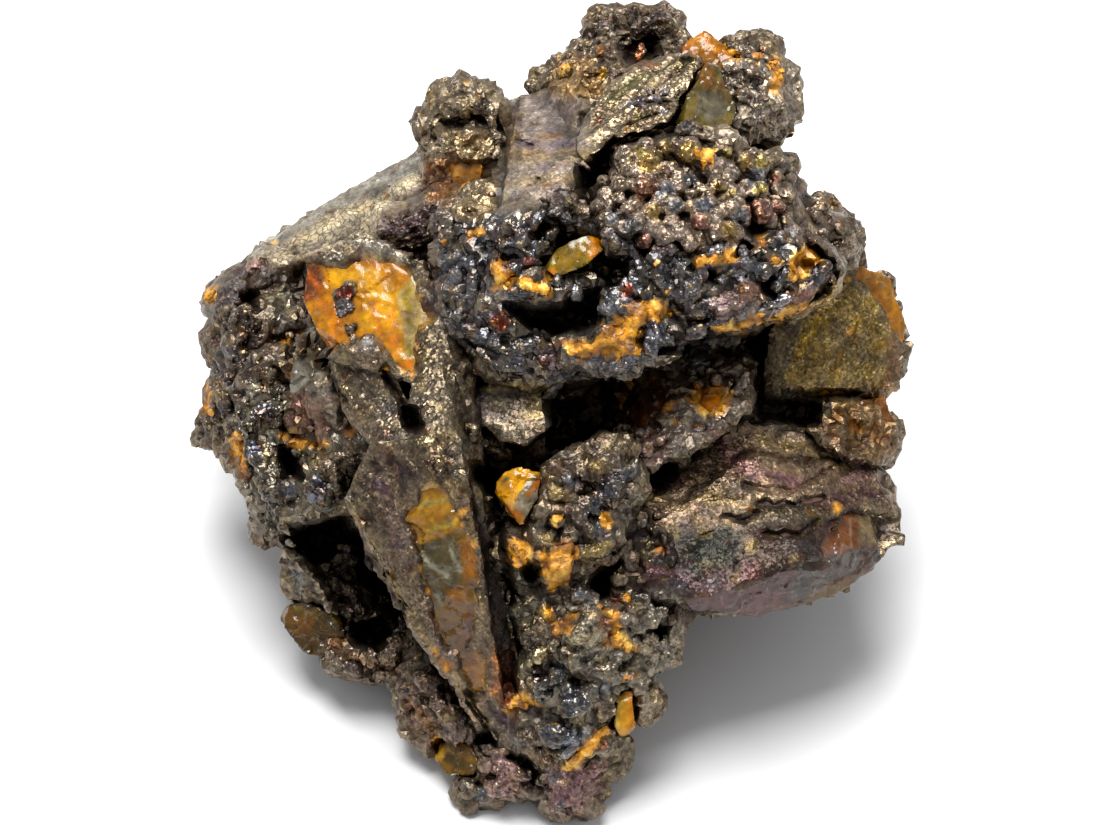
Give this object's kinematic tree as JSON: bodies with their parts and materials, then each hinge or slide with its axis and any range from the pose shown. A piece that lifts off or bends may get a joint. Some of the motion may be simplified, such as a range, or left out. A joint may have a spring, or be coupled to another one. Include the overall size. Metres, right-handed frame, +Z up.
{
  "type": "limonite with quartz specimen",
  "caption": "Rough dark hand specimen of limonite with amber quartz crystals partly coated by it, resting on a small flat spot.",
  "frame": {"origin": "middle of the flat spot that the specimen rests on", "axes": "+Z up, +X to the viewer's right in the picture, +Y away from the viewer"},
  "size_m": [0.0624, 0.0613, 0.0453],
  "materials": {
    "limonite": "dark brown drusy crust with a dull metallic sheen",
    "quartz": "clear to cloudy amber crystal"
  },
  "bodies": {
    "root": {"limonite_mass": "limonite", "quartz_blade_front": "quartz", "quartz_chip_belt": "quartz", "quartz_chip_foot": "quartz", "quartz_chip_left": "quartz", "quartz_crystal_right": "quartz", "quartz_in_hollow": "quartz", "quartz_needle": "quartz", "quartz_peak_top": "quartz", "quartz_plate_right": "quartz", "quartz_point_back": "quartz", "quartz_point_back_low": "quartz", "quartz_point_middle": "quartz", "quartz_prism_left": "quartz", "quartz_small_right": "quartz", "quartz_under_knob": "quartz", "quartz_wedge_left": "quartz", "quartz_wedge_top": "quartz"}
  },
  "joints": []
}
